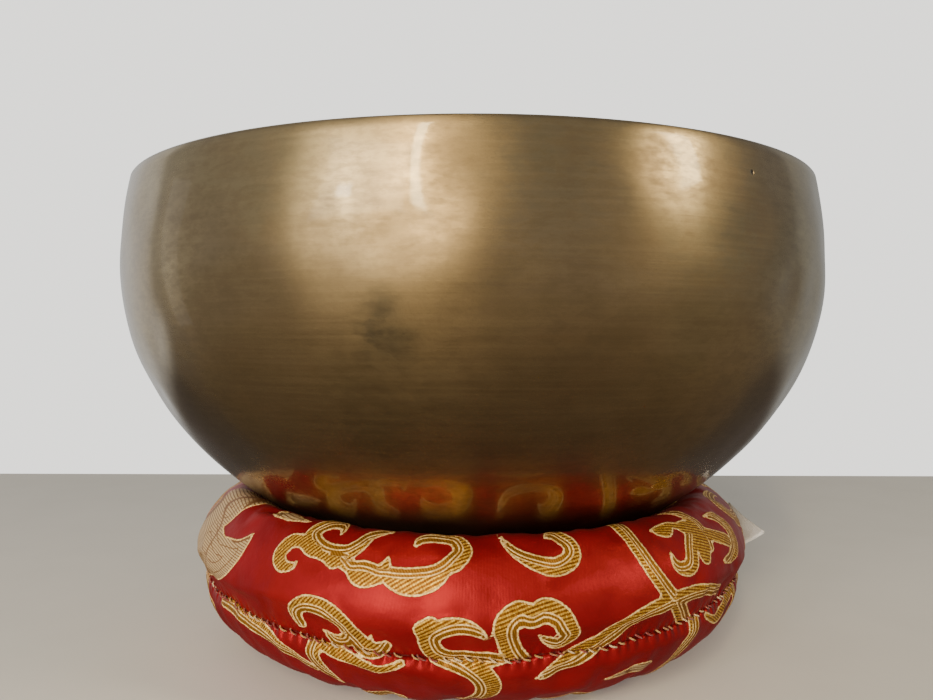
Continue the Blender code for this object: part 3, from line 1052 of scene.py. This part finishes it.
def bronze_finish():
    bronze = Finish("bronze", metallic=1.0, anisotropic=0.5, anisotropic_rotation=0.25, coat_roughness=0.07)
    place = bronze.place()
    z = bronze.parts(place)[2]
    broad = bronze.noise(place, 14.0, 3.0, 0.55)
    blotches = bronze.noise(place, 55.0, 4.0, 0.6)
    grain = bronze.noise(place, 420.0, 3.0, 0.65)
    mottle = bronze.noise(bronze.stretched(place, 110.0, 110.0, 260.0), 1.0, 4.0, 0.6)
    brushed = bronze.noise(bronze.stretched(place, 22.0, 22.0, 1100.0), 1.0, 3.0, 0.6)
    scratches = bronze.noise(bronze.stretched(place, 60.0, 60.0, 3000.0), 1.0, 2.0, 0.5)
    flecks = bronze.noise(bronze.stretched(place, 260.0, 260.0, 620.0), 1.0, 3.0, 0.7)
    warm = bronze.fade(broad, 0.35, 0.65)
    colour = bronze.mix(warm, (0.47, 0.37, 0.205), (0.56, 0.41, 0.225))
    colour = bronze.mix(bronze.fade(blotches, 0.42, 0.66, 0.0, 0.55), colour, (0.32, 0.235, 0.125))
    colour = bronze.mix(bronze.fade(brushed, 0.42, 0.66, 0.0, 0.08), colour, (0.72, 0.57, 0.34))
    colour = bronze.mix(bronze.fade(mottle, 0.45, 0.68, 0.0, 0.3), colour, (0.30, 0.22, 0.125))
    colour = bronze.mix(bronze.fade(flecks, 0.40, 0.66, 0.0, 0.35), colour, (0.29, 0.215, 0.12))
    # Painted shade: the lower bowl is darkened towards its base.
    lower = bronze.fade(z + (broad - 0.5) * 0.03, *DARKER)
    colour = bronze.mix(lower * 0.5, colour, (0.17, 0.11, 0.055))
    # Darker and rougher in a band just above the cushion.
    cushion_band = bronze.fade(z + (blotches - 0.5) * 0.006, *CUSHION_BAND)
    colour = bronze.mix(cushion_band * 0.8, colour, (0.108, 0.078, 0.053))
    for middle, size in STAINS:
        away = bronze.node("VectorMath", {"operation": "DISTANCE"}, {0: place, 1: middle}, out=1)
        spot = bronze.fade(away + (blotches + mottle - 1.0) * STAIN_RAGGEDNESS, size, 0.0, 0.0, 0.55)
        colour = bronze.mix(spot, colour, (0.10, 0.095, 0.07))
    pit = bronze.node("VectorMath", {"operation": "DISTANCE"}, {0: place, 1: PIT}, out=1)
    pit_depth = bronze.fade(pit, PIT_RADIUS, PIT_RADIUS / 3)
    colour = bronze.mix(pit_depth * 0.9, colour, (0.04, 0.03, 0.02))
    ground = bronze.fade(z, RIM_HEIGHT - GROUND_RIM, RIM_HEIGHT - GROUND_RIM / 3)
    colour = bronze.mix(ground * 0.6, colour, (0.24, 0.19, 0.12))
    rough = 0.27 + bronze.fade(blotches, 0.3, 0.7) * 0.09 + bronze.fade(brushed, 0.3, 0.7) * 0.03
    grazing = bronze.fade(bronze.node("LayerWeight", None, {"Blend": 0.5}, out=1), 0.42, 0.72)
    rough += bronze.fade(mottle, 0.35, 0.65) * 0.05 + bronze.fade(flecks, 0.35, 0.65) * 0.06
    rough = (rough + cushion_band * 0.15) * (1.0 - grazing * (0.62 - lower * 0.4))
    worn = bronze.fade(broad + (blotches - 0.5) * 0.5, 0.35, 0.7)
    relief = brushed * 0.3 + scratches * 0.2 + grain * 0.25 + mottle * 0.45 + flecks * 0.2
    relief = relief * (1.0 - grazing * 0.75) - pit_depth * 3.0
    bronze.surface(
        Base_Color=colour,
        Roughness=rough,
        Coat_Weight=(0.42 + worn * 0.3) * (1.0 - cushion_band * 0.55),
        Normal=bronze.bump(relief, 0.00006, 0.6),
    )
    return bronze.material


bowl.data.materials.append(bronze_finish())
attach(bowl, "bowl")
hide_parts("bowl")


# ---- Studio ----
# A pale floor in a soft grey room. Left of the camera are a broad window, its bright edge and one pane.
# A narrow window and a dim doorway stand at the sides, and a low light lifts the cushion unseen by the
# bowl.

TABLE_WIDTH = 3.0
TABLE_FRONT = -1.6
TABLE_BACK = 0.27
TABLE_DROP = 0.0004
LIGHTS_AIM = Vector((0.0, 0.0, 0.09))


def floor():
    bm = bmesh.new()
    corners = ((-1, TABLE_FRONT), (1, TABLE_FRONT), (1, TABLE_BACK), (-1, TABLE_BACK))
    bm.faces.new([bm.verts.new((side * TABLE_WIDTH / 2, y, -TABLE_DROP)) for side, y in corners])
    table = add_to_scene("floor", bm)
    paint = Finish("floor_paint", roughness=0.7)
    cloudy = paint.noise(paint.place(), 30.0, 3.0)
    paint.surface(Base_Color=paint.mix(cloudy, (0.70, 0.69, 0.67), (0.76, 0.75, 0.73)))
    table.data.materials.append(paint.material)
    table.visible_glossy = False


def window(name, azimuth, elevation, distance, width, height, power, colour):
    """An area light that faces the bowl. Azimuth 0 is the camera's side, and grows to the right."""
    light = bpy.data.lights.new(name, "AREA")
    light.shape = "RECTANGLE"
    light.size = width
    light.size_y = height
    light.energy = power
    light.color = colour
    obj = bpy.data.objects.new(name, light)
    bpy.context.scene.collection.objects.link(obj)
    around, up = math.radians(azimuth), math.radians(elevation)
    way = Vector((math.sin(around) * math.cos(up), -math.cos(around) * math.cos(up), math.sin(up)))
    obj.location = LIGHTS_AIM + way * distance
    obj.rotation_euler = (-way).to_track_quat("-Z", "Y").to_euler()
    return obj


def room():
    """A pale wall behind, a dimmer room on the camera's side, and a brown table below."""
    world = bpy.data.worlds.new("room")
    bpy.context.scene.world = world
    world.use_nodes = True
    nodes = Nodes(world.node_tree)
    across, back, up = nodes.parts(nodes.node("TexCoord", out=0))
    left = nodes.fade(across, 0.9, -0.9)
    front = nodes.mix(left, (0.20, 0.195, 0.185), (0.32, 0.315, 0.30))
    table = nodes.ramp(
        nodes.fade(up, -1.0, 0.1),
        (0.0, (0.08, 0.06, 0.045)),
        (0.35, (0.145, 0.112, 0.078)),
        (0.7, (0.195, 0.16, 0.12)),
        (1.0, (0.25, 0.235, 0.21)),
    )
    front = nodes.mix(nodes.fade(up, -0.08, 0.10), table, front)
    wall = nodes.mix(left, (0.30, 0.30, 0.285), (0.66, 0.655, 0.64))
    wall = nodes.mix(nodes.fade(up, -0.34, -0.16), (0.10, 0.085, 0.075), wall)
    shine = nodes.mix(nodes.fade(back, 0.34, 0.44), front, wall)
    seen = nodes.node("LightPath", out=0)
    shine = nodes.mix(seen, shine, (1.76, 1.73, 1.65))
    nodes.feed(world.node_tree.nodes["Background"].inputs[0], shine)


floor()
room()
window("window_left", -30.5, 22.0, 1.2, 0.52, 0.44, 4.2, (1.0, 0.86, 0.62))
window("window_edge", -14.5, 28.0, 1.2, 0.06, 0.62, 5.2, (1.0, 0.80, 0.46))
window("window_pane", -37.0, 19.0, 1.2, 0.10, 0.09, 0.9, (1.0, 0.90, 0.70))
window("window_right", 63.0, 29.0, 1.2, 0.14, 0.28, 3.2, (1.0, 0.82, 0.53))
window("doorway", -95.0, 4.0, 1.2, 0.22, 0.70, 0.16, (1.0, 0.98, 0.95))
low_fill = window("low_fill", -18.0, 2.0, 0.9, 0.3, 0.14, 10.0, (1.0, 0.94, 0.88))
low_fill.visible_glossy = False

# ---- Camera ----
# A camera with a wide lens stands close in front, a little under the rim, and looks slightly down.

FOCAL_LENGTH = 29.13
CAMERA_PITCH = math.radians(1.13)
CAMERA_ROLL = math.radians(0.16)
CAMERA_SIDE = -0.016 * BOWL_RADIUS
CAMERA_DISTANCE = 2.362 * BOWL_RADIUS
CAMERA_BELOW_RIM = 0.407 * BOWL_RADIUS

camera_data = bpy.data.cameras.new("camera")
camera_data.lens = FOCAL_LENGTH
camera_data.sensor_width = 36.0
camera_data.clip_start = 0.005
camera = bpy.data.objects.new("camera", camera_data)
bpy.context.scene.collection.objects.link(camera)
camera.location = (CAMERA_SIDE, -CAMERA_DISTANCE, RIM_HEIGHT - CAMERA_BELOW_RIM)
turned = Matrix.Rotation(math.pi / 2 - CAMERA_PITCH, 3, "X") @ Matrix.Rotation(CAMERA_ROLL, 3, "Z")
camera.rotation_euler = turned.to_euler()
bpy.context.scene.camera = camera
